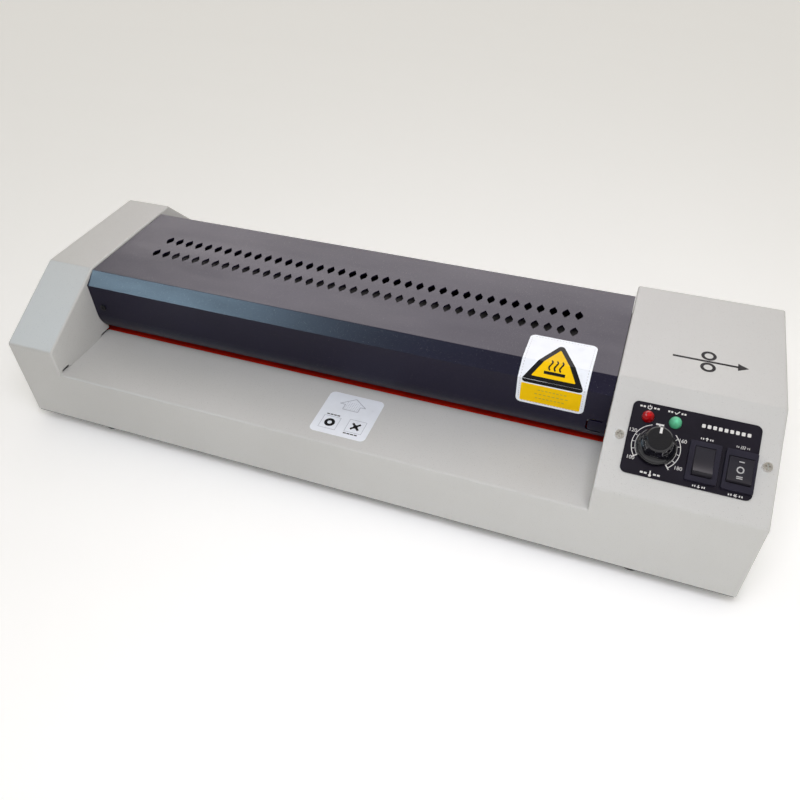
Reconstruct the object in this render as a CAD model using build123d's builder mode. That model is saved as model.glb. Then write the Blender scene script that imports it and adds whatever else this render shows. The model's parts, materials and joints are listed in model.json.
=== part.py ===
from build123d import *
from math import acos, atan2, cos, pi, radians, sin, tan
import os

# Pouch laminator for 320 mm pouches: two folded sheet-metal end housings joined by a feed table,
# a dark vented cover over two pairs of heated rollers, and a control panel on the right housing.
# Frame: +X to the operator's right, +Y to the rear, +Z up.  Origin on the bench, under the centre.
# Side outlines are drawn on Plane.YZ, so a sketch point there is (y, z).

os.makedirs("parts", exist_ok=True)

# ---------------------------------------------------------------- driving dimensions (mm)
WIDTH = 445.0               # over both end housings
FRONT_Y = -90.0             # front face
REAR_Y = 88.5               # rear face of the sheet metal
TOP_Z = 92.2                # top of the end housings
FOOT_H = 7.0                # rubber feet
PAN_T = 1.0                 # base pan
SHEET = 1.2                 # painted casing sheet
FOLD_R = 2.2                # outside radius of the long folds
EDGE_R = 1.2                # rounding of the housing ends and the table lip
SHELL_Z = FOOT_H + PAN_T    # lower edge of the casing

FOLD_Z = 62.9               # fold between front face and control slope
SLOPE_TOP_Y = -35.9         # upper end of the control slope
REAR_TOP_Y = 51.1           # top face ends here and drops at 45 degrees
REAR_FOLD_Z = 54.8          # fold between rear slope and rear face
LEFT_IN = -189.0            # inner wall of the left housing
RIGHT_IN = 141.1            # inner wall of the right housing
SPAN = RIGHT_IN - LEFT_IN
TABLE_Z = 45.5              # feed and exit tables
TABLE_END_Y = -39.0         # rear edge of the feed table
SLIT_H = 2.0                # relief slits where the inner walls meet the table
FLANGE = 10.0               # inward flange along the casing's lower edge

MID_Y = 2.4                 # middle of the cover and of the roller pairs
EXIT_END_Y = 2 * MID_Y - TABLE_END_Y    # front edge of the exit table
COVER_T = 1.0
COVER_TOP_Z = 91.0
COVER_HALF = 47.1           # half depth over the upright faces
COVER_TOP_HALF = 38.4       # half depth of the flat top
COVER_SHOULDER_Z = 84.5     # chamfer strip runs down to here
COVER_KNEE_Z = 62.5         # lower lip starts to roll inwards
LIP_Z = 49.75               # lower edge of the rolled lip, top of the feed slot
LIP_HALF = 41.6
LIP_R = 18.0                # radius of the rolled lip
GAP = 0.3                   # cover to housing walls
COVER_SCREW_Z = 69.0
TAB_X, TAB_Z = 135.6, 61.0  # lanced tab that hooks the front right end of the cover
TAB_W, TAB_H, TAB_SLIT = 11.0, 9.6, 1.0
WINDOW_HALF = 45.8          # opening in each inner wall, hidden behind the cover
WINDOW_TOP_HALF = 38.0
WINDOW_LOW_Z, WINDOW_SHOULDER_Z, WINDOW_TOP_Z = 61.0, 84.0, 88.5

VENT_PITCH = 7.41
VENT_ROWS = 16.1
VENT_COUNT = 38
VENT_X = -24.3              # middle of the vent rows
VENT_W, VENT_L = 4.4, 9.0    # long diamond with its two side corners cut off
VENT_SIDE = 2.2             # length of those cuts

NIP_Z = 47.6                # height of the pouch path
ROLLER_R = 12.0
CORE_R = 8.0
JOURNAL_R = 4.0
ROLLER_GAP = 0.3
AXLE_SPLIT = 2 * ROLLER_R + ROLLER_GAP
UPPER_Z = NIP_Z + AXLE_SPLIT / 2
LOWER_Z = NIP_Z - AXLE_SPLIT / 2
PAIR_PITCH = 36.5           # front pair to rear pair
FRONT_AXLE_Y = MID_Y - PAIR_PITCH / 2
REAR_AXLE_Y = MID_Y + PAIR_PITCH / 2
ROLLER_X0, ROLLER_X1 = -186.0, 138.0

PLATE_T = 2.0               # side plates that carry the rollers
LEFT_PLATE_X = -195.0       # inner face
RIGHT_PLATE_X = 148.0       # inner face
PLATE_HALF = 39.0           # half depth over the plate's foot and top
PLATE_WIDE = 45.7           # half depth beside the cover screws
PLATE_TOP_Z = 86.0
PLATE_FOOT_HALF = 34.0
EAR_L, EAR_T = 20.0, 1.5    # ears that take the cover screws
FIT = 0.05                  # running clearance on a radius
BUSH_R = 5.5
BUSH_FLANGE_R = 6.3
SLOT_TOP_Z = 80.0           # the upper bushes slide in slots and are pressed down by springs
SPRING_R = 3.0
SPRING_WIRE_R = 0.4
SPRING_Z = UPPER_Z + BUSH_FLANGE_R + SPRING_WIRE_R + 0.05
SPRING_L = SLOT_TOP_Z - SPRING_Z - SPRING_WIRE_R - 0.05

MODULE = 1.0
GEAR_TEETH = 24
PINION_TEETH = 12
GEAR_X0 = 152.5
GEAR_W = 6.0
MOTOR_Y = REAR_AXLE_Y + PAIR_PITCH / 2
BRACKET_X = 162.0
BRACKET_T = 2.0
BRACKET_Y0, BRACKET_Y1, BRACKET_TOP_Z = 6.0, 70.0, 66.0
MOTOR_R = 25.0

SHOE_HALF = 28.4            # half depth of a heater shoe
SHOE_BACK = 28.4            # pouch path to the back of a shoe
ELEMENT_Z = 22.5            # pouch path to the heating elements
ELEMENT_R = 3.0

PANEL_W, PANEL_L, PANEL_T = 61.0, 38.3, 0.6
PANEL_X, PANEL_S = 181.9, 30.5
KNOB_X, KNOB_S = 166.0, 27.4
BUSHING_HOLE_R = 3.9
RED_X, RED_S = 159.5, 42.0
GREEN_X, GREEN_S = 172.7, 41.9
LED_R = 2.95
SCREW_S = 30.0              # panel screws, up the slope
SCREW_X = (148.0, 216.9)
SWITCH_W, SWITCH_L = 15.0, 21.0     # snap-in bezel
SWITCH_H = 1.8
SWITCH_CUT_W, SWITCH_CUT_L = 13.2, 19.4
DIRECTION_X, DIRECTION_S = 188.5, 24.7
MODE_X, MODE_S = 205.1, 24.5
ROCKER_TILT = 11.0          # each way from level
PIVOT_H = 1.0               # rocker axis above the slope
ROCKER_END = 26.0           # rocker's end edges, degrees above its axis
ROCKER_DISH = 1.9           # middle of the dished top, above the axis

INLET_X, INLET_Z = 182.0, 30.0
FOOT_X, FOOT_FRONT_Y, FOOT_REAR_Y = 169.5, -77.9, 75.5
LABEL_X, LABEL_Y, LABEL_SIDE = -2.3, -65.2, 34.6
STICKER_T = 0.15
WARNING_X0, WARNING_X1 = 90.9, 127.8
WARNING_REAR_Y, WARNING_LOW_Z = -14.5, 67.6

SLOPE = atan2(TOP_Z - FOLD_Z, SLOPE_TOP_Y - FRONT_Y)


# ---------------------------------------------------------------- shared helpers
def save(piece, name):
    """Label a finished piece and write its STEP file."""
    piece.part.label = name
    export_step(piece.part, f"parts/{name}.step")


def slope_plane(x, s, h=0.0):
    """Plane on the control slope: s up the slope from its lower fold, h outwards."""
    y = FRONT_Y + s * cos(SLOPE) - h * sin(SLOPE)
    z = FOLD_Z + s * sin(SLOPE) + h * cos(SLOPE)
    return Plane(origin=(x, y, z), x_dir=(1, 0, 0), z_dir=(0, -sin(SLOPE), cos(SLOPE)))


def slope_side(x, s, h=0.0):
    """Side view of the control slope: sketch x runs up the slope, sketch y outwards."""
    return Plane(origin=slope_plane(x, s, h).origin, x_dir=(0, cos(SLOPE), sin(SLOPE)),
                 z_dir=(1, 0, 0))


def facing(origin, normal, across):
    """Plane at a point with the given outward normal and sketch x direction."""
    return Plane(origin=origin, x_dir=across, z_dir=normal)


def block(place, width, length, height):
    """Plain block centred on place and standing on it."""
    with BuildSketch(place) as outline:
        Rectangle(width, length)
    extrude(outline.sketch, amount=height)


def rod(place, radius, length, mode=Mode.ADD):
    """Round bar, or with Mode.SUBTRACT a round hole, along the normal of place."""
    with BuildSketch(place) as outline:
        Circle(radius)
    extrude(outline.sketch, amount=length, mode=mode)


def side_box(x0, x1, y0, y1, z0, z1, mode=Mode.ADD):
    """Block between two corners."""
    with BuildSketch(Plane.XY.offset(z0)) as outline:
        with Locations(((x0 + x1) / 2, (y0 + y1) / 2)):
            Rectangle(x1 - x0, y1 - y0)
    extrude(outline.sketch, amount=z1 - z0, mode=mode)


def along_x(x0, x1, points, mode=Mode.ADD):
    """Prism between x0 and x1 with a closed (y, z) outline."""
    with BuildSketch(Plane.YZ.offset(x0)) as outline:
        with BuildLine():
            Polyline(points, close=True)
        make_face()
    extrude(outline.sketch, amount=x1 - x0, mode=mode)


def pan_screw(place, head_r, head_h, shank_r, length):
    """Pan-head screw with a cross recess; its shank runs back from place."""
    with BuildSketch(place) as outline:
        Circle(head_r)
    extrude(outline.sketch, amount=head_h, taper=12)
    with BuildSketch(place.offset(head_h * 0.45)) as outline:
        Rectangle(head_r * 1.1, head_r * 0.28)
        Rectangle(head_r * 0.28, head_r * 1.1)
    extrude(outline.sketch, amount=head_h, mode=Mode.SUBTRACT)
    with BuildSketch(place) as outline:
        Circle(shank_r)
    extrude(outline.sketch, amount=-length)


def gear_outline(teeth, phase):
    """Involute spur gear outline, one tooth centred at the phase angle in degrees."""
    pitch_r = MODULE * teeth / 2
    base_r = pitch_r * cos(radians(20))
    tip_r = pitch_r + MODULE
    root_r = pitch_r - 1.25 * MODULE
    backlash = 0.12
    tooth_half = (pi * MODULE / 2 - backlash) / 2 / pitch_r

    def involute(r):
        roll = acos(min(base_r / r, 1.0))
        return tan(roll) - roll

    def flank(r, index, hand):
        half = tooth_half + involute(pitch_r) - involute(r)
        angle = radians(phase + 360 * index / teeth) + hand * half
        return (r * cos(angle), r * sin(angle))

    start_r = max(base_r, root_r)
    middle_r = (start_r + tip_r) / 2
    for index in range(teeth):
        tip_angle = radians(phase + 360 * index / teeth)
        valley = radians(phase + 360 * (index + 0.5) / teeth)
        ThreePointArc(flank(start_r, index, -1), flank(middle_r, index, -1), flank(tip_r, index, -1))
        ThreePointArc(flank(tip_r, index, -1), (tip_r * cos(tip_angle), tip_r * sin(tip_angle)),
                      flank(tip_r, index, 1))
        ThreePointArc(flank(tip_r, index, 1), flank(middle_r, index, 1), flank(start_r, index, 1))
        ThreePointArc(flank(start_r, index, 1), (root_r * cos(valley), root_r * sin(valley)),
                      flank(start_r, index + 1, -1))


def spur_gear(y, z, teeth, phase, bore_r, hub_r):
    """Spur gear on an X axis through (y, z), with a short hub on its outer side."""
    place = facing((GEAR_X0, y, z), (1, 0, 0), (0, 1, 0))
    with BuildSketch(place) as outline:
        with BuildLine():
            gear_outline(teeth, phase)
        make_face()
    extrude(outline.sketch, amount=GEAR_W)
    rod(place.offset(GEAR_W), hub_r, 1.5)
    rod(place, bore_r, GEAR_W + 1.5, Mode.SUBTRACT)


def cover_skin(inset):
    """Open side outline of the cover, from the front lip over the top to the rear lip."""
    half, top, lip = COVER_HALF - inset, COVER_TOP_HALF - inset * 0.7, LIP_HALF - inset
    shoulder, roof = COVER_SHOULDER_Z - inset * 0.4, COVER_TOP_Z - inset
    RadiusArc((MID_Y - lip, LIP_Z), (MID_Y - half, COVER_KNEE_Z), LIP_R - inset)
    Polyline((MID_Y - half, COVER_KNEE_Z), (MID_Y - half, shoulder), (MID_Y - top, roof),
             (MID_Y + top, roof), (MID_Y + half, shoulder), (MID_Y + half, COVER_KNEE_Z))
    RadiusArc((MID_Y + half, COVER_KNEE_Z), (MID_Y + lip, LIP_Z), LIP_R - inset)


def housing_outline(bottom):
    """Side outline of an end housing."""
    return [(FRONT_Y, bottom), (FRONT_Y, FOLD_Z), (SLOPE_TOP_Y, TOP_Z), (REAR_TOP_Y, TOP_Z),
            (REAR_Y, REAR_FOLD_Z), (REAR_Y, bottom)]


def inner_cavity(x0, x1):
    """Hollow of one end housing, one sheet thickness inside its outline."""
    with BuildSketch(Plane.YZ.offset(x0)) as outline:
        with BuildLine():
            Polyline(housing_outline(SHELL_Z), close=True)
        make_face()
        offset(amount=-SHEET, kind=Kind.INTERSECTION)
    extrude(outline.sketch, amount=x1 - x0, mode=Mode.SUBTRACT)


FEET = [(x, y) for x in (-FOOT_X, FOOT_X) for y in (FOOT_FRONT_Y, FOOT_REAR_Y)]
CASING_SCREWS = [(x, y) for x in (-205.0, -70.0, 60.0, 205.0) for y in (-83.5, 82.0)]
COVER_SCREWS = [(-181.6, -1), (-181.6, 1), (132.5, 1)]     # x, and -1 for the front or 1 for the rear
PLATE_SCREWS = [(x, y) for x in (-203.0, 144.0) for y in (-22.0, 27.0)]
BRACKET_SCREWS = [(172.0, 14.0), (172.0, 64.0)]
REAR_SCREWS = [(x, z) for x in (-197.0, 149.0) for z in (20.0, 38.0)]
AXLES = {"front_upper": (FRONT_AXLE_Y, UPPER_Z), "front_lower": (FRONT_AXLE_Y, LOWER_Z),
         "rear_upper": (REAR_AXLE_Y, UPPER_Z), "rear_lower": (REAR_AXLE_Y, LOWER_Z)}

# ---------------------------------------------------------------- painted casing
with BuildPart() as casing:
    for x0, x1 in ((-WIDTH / 2, LEFT_IN), (RIGHT_IN, WIDTH / 2)):
        along_x(x0, x1, housing_outline(SHELL_Z))
    fillet([e for e in casing.edges().filter_by(Axis.X) if e.center().Z > SHELL_Z + 1], FOLD_R)
    along_x(LEFT_IN, RIGHT_IN, [(FRONT_Y, SHELL_Z), (FRONT_Y, TABLE_Z), (TABLE_END_Y, TABLE_Z),
                                (TABLE_END_Y, SHELL_Z)])
    above = [e for e in casing.edges() if e.center().Z > SHELL_Z + 1]
    ends = [e for e in above if abs(abs(e.center().X) - WIDTH / 2) < 0.01]
    fillet(ends, EDGE_R)
    above = [e for e in casing.edges() if e.center().Z > TABLE_Z + 1]
    walls = [e for e in above if min(abs(e.center().X - LEFT_IN), abs(e.center().X - RIGHT_IN)) < 0.01]
    lip = casing.edges().filter_by(Axis.X).filter_by_position(Axis.Z, TABLE_Z - 0.1, TABLE_Z + 0.1)
    fillet(walls + [lip.sort_by(Axis.Y)[0]], EDGE_R)
    inner_cavity(-WIDTH / 2 + SHEET, LEFT_IN - SHEET)
    inner_cavity(RIGHT_IN + SHEET, WIDTH / 2 - SHEET)
    # the hollow runs through under the tables, and the lower flange stays along the outer walls
    side_box(LEFT_IN - SHEET - 1, RIGHT_IN + SHEET + 1, FRONT_Y + SHEET, REAR_Y - SHEET,
             SHELL_Z + SHEET, TABLE_Z - SHEET, Mode.SUBTRACT)
    side_box(-WIDTH / 2 + FLANGE, WIDTH / 2 - FLANGE, FRONT_Y + FLANGE, REAR_Y - FLANGE,
             SHELL_Z - 1, SHELL_Z + SHEET, Mode.SUBTRACT)
    # the rear panel closes the rear between the housings
    side_box(LEFT_IN, RIGHT_IN, REAR_Y - FLANGE - 1, REAR_Y + 1, SHELL_Z - 1, TABLE_Z, Mode.SUBTRACT)
    # window behind the cover in each inner wall, open downwards
    for x0 in (LEFT_IN - SHEET - 1, RIGHT_IN - 1):
        along_x(x0, x0 + SHEET + 2, [
            (TABLE_END_Y, TABLE_Z - 3), (TABLE_END_Y, LIP_Z), (MID_Y - WINDOW_HALF, WINDOW_LOW_Z),
            (MID_Y - WINDOW_HALF, WINDOW_SHOULDER_Z), (MID_Y - WINDOW_TOP_HALF, WINDOW_TOP_Z),
            (MID_Y + WINDOW_TOP_HALF, WINDOW_TOP_Z), (MID_Y + WINDOW_HALF, WINDOW_SHOULDER_Z),
            (MID_Y + WINDOW_HALF, WINDOW_LOW_Z), (EXIT_END_Y, LIP_Z), (EXIT_END_Y, TABLE_Z - 3)],
            Mode.SUBTRACT)
        # relief slits where the inner wall meets the table
        for y0, y1 in ((-86.7, -80.6), (-47.7, TABLE_END_Y)):
            side_box(x0, x0 + SHEET + 2, y0, y1, TABLE_Z, TABLE_Z + SLIT_H, Mode.SUBTRACT)
    # control slope: knob bushing, two lamps, two switches, two panel screws
    rod(slope_plane(KNOB_X, KNOB_S, -3), BUSHING_HOLE_R, 6, Mode.SUBTRACT)
    for x, s in ((RED_X, RED_S), (GREEN_X, GREEN_S)):
        rod(slope_plane(x, s, -3), LED_R + 0.1, 6, Mode.SUBTRACT)
    for x, s in ((DIRECTION_X, DIRECTION_S), (MODE_X, MODE_S)):
        with BuildSketch(slope_plane(x, s, -3)):
            Rectangle(SWITCH_CUT_W, SWITCH_CUT_L)
        extrude(amount=6, mode=Mode.SUBTRACT)
    for x in SCREW_X:
        rod(slope_plane(x, SCREW_S, -3), 1.5, 6, Mode.SUBTRACT)
    # mains inlet and rear panel screws
    with BuildSketch(facing((INLET_X, REAR_Y - 3, INLET_Z), (0, 1, 0), (-1, 0, 0))):
        Rectangle(27.4, 20.4)
    extrude(amount=6, mode=Mode.SUBTRACT)
    for x, z in REAR_SCREWS:
        rod(facing((x, REAR_Y - 3, z), (0, 1, 0), (-1, 0, 0)), 1.6, 6, Mode.SUBTRACT)
    for x, y in CASING_SCREWS:
        rod(Plane(origin=(x, y, SHELL_Z - 1)), 1.6, SHEET + 2, Mode.SUBTRACT)
save(casing, "casing")

# rear panel: exit table, rear face and lower flange, with two ears behind the housings
with BuildPart() as rear_panel:
    x0, x1 = LEFT_IN + 0.1, RIGHT_IN - 0.1
    back = REAR_Y - SHEET
    side_box(x0, x1, EXIT_END_Y, REAR_Y, SHELL_Z, TABLE_Z)
    fillet(rear_panel.edges().filter_by(Axis.X).group_by(Axis.Z)[-1].sort_by(Axis.Y)[-1], EDGE_R)
    side_box(x0, x1, 0, back, SHELL_Z + SHEET, TABLE_Z - SHEET, Mode.SUBTRACT)
    side_box(x0, x1, 0, REAR_Y - FLANGE, SHELL_Z - 1, TABLE_Z - SHEET, Mode.SUBTRACT)
    side_box(LEFT_IN - 14, RIGHT_IN + 14, back - SHEET - 0.1, back - 0.1, 12, 43)
    side_box(x0 + 8, x1 - 8, back - SHEET - 1, back - 0.1, 11, 44, Mode.SUBTRACT)
    side_box(x0, x0 + 8, back - 0.2, back, 12, 43)
    side_box(x1 - 8, x1, back - 0.2, back, 12, 43)
    for x, z in REAR_SCREWS:
        rod(facing((x, REAR_Y - 5, z), (0, 1, 0), (-1, 0, 0)), 1.35, 6, Mode.SUBTRACT)
    for x, y in CASING_SCREWS:
        rod(Plane(origin=(x, y, SHELL_Z - 1)), 1.6, SHEET + 2, Mode.SUBTRACT)
save(rear_panel, "rear_panel")

with BuildPart() as base_pan:
    side_box(-WIDTH / 2 + 0.4, WIDTH / 2 - 0.4, FRONT_Y + 0.4, REAR_Y - 0.4, FOOT_H, SHELL_Z)
    fillet(base_pan.edges().filter_by(Axis.Z), EDGE_R)
    for x, y in FEET:
        rod(Plane(origin=(x, y, 0)), 2.1, 20, Mode.SUBTRACT)
    for x, y in CASING_SCREWS + PLATE_SCREWS + BRACKET_SCREWS:
        rod(Plane(origin=(x, y, 0)), 1.6, 20, Mode.SUBTRACT)
    with BuildSketch(Plane.XY):
        with GridLocations(12.0, 70.0, 22, 2):
            SlotOverall(26, 3.2, rotation=90)
    extrude(amount=20, mode=Mode.SUBTRACT)
save(base_pan, "base_pan")

with BuildPart() as feet:
    for x, y in FEET:
        with BuildSketch(Plane(origin=(x, y, FOOT_H))):
            Circle(8.0)
        extrude(amount=-FOOT_H, taper=5)
    fillet(feet.faces().group_by(Axis.Z)[0].edges(), 0.8)
    for x, y in FEET:
        rod(Plane(origin=(x, y, -1)), 4.2, 4.0, Mode.SUBTRACT)
        rod(Plane(origin=(x, y, 0)), 2.1, FOOT_H, Mode.SUBTRACT)
save(feet, "feet")

with BuildPart() as foot_screws:
    for x, y in FEET:
        pan_screw(facing((x, y, 3.0), (0, 0, -1), (1, 0, 0)), 3.6, 2.0, 1.95, 9.0)
save(foot_screws, "foot_screws")

with BuildPart() as base_screws:
    for x, y in CASING_SCREWS + PLATE_SCREWS + BRACKET_SCREWS:
        pan_screw(facing((x, y, FOOT_H), (0, 0, -1), (1, 0, 0)), 2.8, 1.6, 1.45, 4.5)
save(base_screws, "base_screws")

with BuildPart() as rear_screws:
    for x, z in REAR_SCREWS:
        pan_screw(facing((x, REAR_Y, z), (0, 1, 0), (-1, 0, 0)), 2.6, 1.3, 1.3, 5.0)
save(rear_screws, "rear_screws")

# ---------------------------------------------------------------- vented cover
with BuildPart() as top_cover:
    with BuildSketch(Plane.YZ.offset(LEFT_IN + GAP)):
        with BuildLine():
            cover_skin(0)
            Line((MID_Y + LIP_HALF, LIP_Z), (MID_Y - LIP_HALF, LIP_Z))
        make_face()
        with BuildLine():
            cover_skin(COVER_T)
            Line((MID_Y + LIP_HALF - COVER_T, LIP_Z), (MID_Y - LIP_HALF + COVER_T, LIP_Z))
        make_face(mode=Mode.SUBTRACT)
    extrude(amount=SPAN - 2 * GAP)
    crown = top_cover.edges().filter_by(Axis.X).group_by(Axis.Z)
    fillet([e for group in crown[-3:] for e in group if e.center().Z > 90.5], 0.9)
    with BuildSketch(Plane.XY.offset(COVER_TOP_Z - 3)):
        with Locations((VENT_X, MID_Y + 0.6)):
            with GridLocations(VENT_PITCH, VENT_ROWS, VENT_COUNT, 2):
                Polygon((-VENT_W / 2, -VENT_SIDE / 2), (0, -VENT_L / 2), (VENT_W / 2, -VENT_SIDE / 2),
                        (VENT_W / 2, VENT_SIDE / 2), (0, VENT_L / 2), (-VENT_W / 2, VENT_SIDE / 2))
    extrude(amount=6, mode=Mode.SUBTRACT)
    for x, side in COVER_SCREWS:
        outside = MID_Y + side * (COVER_HALF + 1)
        rod(facing((x, outside, COVER_SCREW_Z), (0, -side, 0), (1, 0, 0)), 1.4, 3, Mode.SUBTRACT)
    # slit round the tab, which stays joined to the cover at its right side
    with BuildSketch(facing((TAB_X, MID_Y - COVER_HALF - 1, TAB_Z), (0, 1, 0), (1, 0, 0))):
        RectangleRounded(TAB_W, TAB_H, 3.0)
        RectangleRounded(TAB_W - 2 * TAB_SLIT, TAB_H - 2 * TAB_SLIT, 2.0, mode=Mode.SUBTRACT)
        with Locations((TAB_W / 2, 0)):
            Rectangle(TAB_W / 2, TAB_H, mode=Mode.SUBTRACT)
    extrude(amount=8, mode=Mode.SUBTRACT)
save(top_cover, "top_cover")

with BuildPart() as cover_screws:
    for x, side in COVER_SCREWS:
        skin = MID_Y + side * COVER_HALF
        pan_screw(facing((x, skin, COVER_SCREW_Z), (0, side, 0), (1, 0, 0)), 2.1, 0.9, 1.2, 4.5)
save(cover_screws, "cover_screws")

with BuildPart() as heat_shield:
    side_box(LEFT_PLATE_X, RIGHT_PLATE_X, MID_Y - 30, MID_Y + 30, 82.0, 82.8)
    for y in (MID_Y - 30, MID_Y + 29.2):
        side_box(LEFT_PLATE_X, RIGHT_PLATE_X, y, y + 0.8, 74.0, 82.4)
save(heat_shield, "heat_shield")

# entry and exit guides bridge the tables and the rollers
for name, hand in (("entry_guide", -1), ("exit_guide", 1)):
    with BuildPart() as guide:
        table_end = MID_Y - TABLE_END_Y - 0.2
        near_roller = 30.2
        fold = near_roller + 1.0
        outline = [(table_end, TABLE_Z - SHEET), (table_end, TABLE_Z - 0.1), (fold, TABLE_Z),
                   (near_roller, TABLE_Z - 0.5), (near_roller, 38.0), (fold, 38.0), (fold, TABLE_Z - 0.9)]
        along_x(LEFT_PLATE_X, RIGHT_PLATE_X, [(MID_Y + hand * y, z) for y, z in outline])
    save(guide, name)

# ---------------------------------------------------------------- roller frame
for name, inner, hand in (("left_side_plate", LEFT_PLATE_X, -1), ("right_side_plate", RIGHT_PLATE_X, 1)):
    outer = inner + hand * PLATE_T
    low, high = min(inner, outer), max(inner, outer)
    with BuildPart() as plate:
        along_x(low, high, [
            (MID_Y - PLATE_HALF, SHELL_Z), (MID_Y - PLATE_HALF, 58), (MID_Y - PLATE_WIDE, 62),
            (MID_Y - PLATE_WIDE, 76), (MID_Y - PLATE_HALF, PLATE_TOP_Z), (MID_Y + PLATE_HALF, PLATE_TOP_Z),
            (MID_Y + PLATE_WIDE, 76), (MID_Y + PLATE_WIDE, 62), (MID_Y + PLATE_HALF, 58),
            (MID_Y + PLATE_HALF, SHELL_Z)])
        foot = (low - FLANGE - 2, low) if hand < 0 else (low - FLANGE + 2, low)
        side_box(foot[0], foot[1], MID_Y - PLATE_FOOT_HALF, MID_Y + PLATE_FOOT_HALF, SHELL_Z,
                 SHELL_Z + PLATE_T)
        ear = (inner, inner + EAR_L) if hand < 0 else (inner - EAR_L, inner)
        for y in (MID_Y - PLATE_WIDE, MID_Y + PLATE_WIDE - EAR_T):
            side_box(ear[0], ear[1], y, y + EAR_T, COVER_SCREW_Z - 6, COVER_SCREW_Z + 6)
        for x, side in COVER_SCREWS:
            outside = MID_Y + side * (COVER_HALF + 1)
            rod(facing((x, outside, COVER_SCREW_Z), (0, -side, 0), (1, 0, 0)), 1.3, 10, Mode.SUBTRACT)
        for y in (FRONT_AXLE_Y, REAR_AXLE_Y):
            rod(facing((low - 1, y, LOWER_Z), (1, 0, 0), (0, 1, 0)), BUSH_R + FIT, 4, Mode.SUBTRACT)
            rod(facing((low - 1, y, UPPER_Z), (1, 0, 0), (0, 1, 0)), BUSH_R + FIT, 4, Mode.SUBTRACT)
            side_box(low - 1, high + 1, y - BUSH_R - FIT, y + BUSH_R + FIT, UPPER_Z, SLOT_TOP_Z,
                     Mode.SUBTRACT)
        for x, y in PLATE_SCREWS:
            rod(Plane(origin=(x, y, 0)), 1.5, 15, Mode.SUBTRACT)
    save(plate, name)

with BuildPart() as tie_rods:
    for y, z in ((MID_Y - 36, 70), (MID_Y + 36, 70), (MID_Y - 33, 15), (MID_Y + 33, 15)):
        rod(facing((LEFT_PLATE_X, y, z), (1, 0, 0), (0, 1, 0)), 3.5, RIGHT_PLATE_X - LEFT_PLATE_X)
save(tie_rods, "tie_rods")

with BuildPart() as roller_bushes:
    for plate_x in (LEFT_PLATE_X - PLATE_T / 2, RIGHT_PLATE_X + PLATE_T / 2):
        for y, z in AXLES.values():
            place = facing((plate_x, y, z), (1, 0, 0), (0, 1, 0))
            rod(place.offset(-2.4), BUSH_R, 4.8)
            rod(place.offset(1.05 if plate_x < 0 else -2.05), BUSH_FLANGE_R, 1.0)
            rod(place.offset(-4), JOURNAL_R + FIT, 8, Mode.SUBTRACT)
save(roller_bushes, "roller_bushes")

with BuildPart() as pressure_springs:
    for plate_x in (LEFT_PLATE_X - PLATE_T / 2, RIGHT_PLATE_X + PLATE_T / 2):
        for y in (FRONT_AXLE_Y, REAR_AXLE_Y):
            with BuildLine() as coil:
                Helix(pitch=2.6, height=SPRING_L, radius=SPRING_R, center=(plate_x, y, SPRING_Z))
            with BuildSketch(Plane(origin=coil.line @ 0, z_dir=coil.line % 0)):
                Circle(SPRING_WIRE_R)
            sweep(path=coil.line)
save(pressure_springs, "pressure_springs")

# ---------------------------------------------------------------- rollers and gear train
for name, (y, z) in AXLES.items():
    start = facing((ROLLER_X0, y, z), (1, 0, 0), (0, 1, 0))
    with BuildPart() as sleeve:
        rod(start, ROLLER_R, ROLLER_X1 - ROLLER_X0)
        fillet(sleeve.edges(), 0.8)
        rod(start.offset(-1), CORE_R, ROLLER_X1 - ROLLER_X0 + 2, Mode.SUBTRACT)
    save(sleeve, f"{name}_sleeve")
    with BuildPart() as shaft:
        rod(start.offset(-2), CORE_R, ROLLER_X1 - ROLLER_X0 + 4)
        rod(start.offset(-14), JOURNAL_R, 160.5 - ROLLER_X0 + 14)
        chamfer(shaft.faces().sort_by(Axis.X)[0].edges() + shaft.faces().sort_by(Axis.X)[-1].edges(), 0.5)
    save(shaft, f"{name}_shaft")
    with BuildPart() as gear:
        spur_gear(y, z, GEAR_TEETH, 0 if z == LOWER_Z else 180 / GEAR_TEETH, JOURNAL_R, 7.0)
    save(gear, f"{name}_gear")

with BuildPart() as idler_gear:
    spur_gear(MID_Y, LOWER_Z, PINION_TEETH, 180 / PINION_TEETH, 3.0 + FIT, 4.3)
save(idler_gear, "idler_gear")

with BuildPart() as idler_pin:
    start = facing((RIGHT_PLATE_X + PLATE_T, MID_Y, LOWER_Z), (1, 0, 0), (0, 1, 0))
    rod(start, 3.0, 11.3)
    rod(start, 4.2, 2.2)
    rod(start.offset(10.3), 4.0, 1.0)
save(idler_pin, "idler_pin")

with BuildPart() as motor_pinion:
    spur_gear(MOTOR_Y, LOWER_Z, PINION_TEETH, 180 / PINION_TEETH, 3.0, 4.3)
save(motor_pinion, "motor_pinion")

with BuildPart() as motor_shaft:
    rod(facing((GEAR_X0 - 0.8, MOTOR_Y, LOWER_Z), (1, 0, 0), (0, 1, 0)), 3.0, 18.0)
save(motor_shaft, "motor_shaft")

with BuildPart() as gear_motor:
    start = facing((BRACKET_X + BRACKET_T, MOTOR_Y, LOWER_Z), (1, 0, 0), (0, 1, 0))
    rod(start, MOTOR_R, 20)
    rod(start.offset(20), MOTOR_R - 2, 22)
    fillet(gear_motor.edges().filter_by(GeomType.CIRCLE).sort_by(Axis.X)[-1], 2.0)
    for hand in (-1, 1):
        with BuildSketch(start):
            with Locations((hand * 22.0, hand * 15.0)):
                Circle(5.0)
        extrude(amount=1.5)
    rod(start.offset(-1), 3.0 + FIT, 9, Mode.SUBTRACT)
save(gear_motor, "gear_motor")

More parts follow.
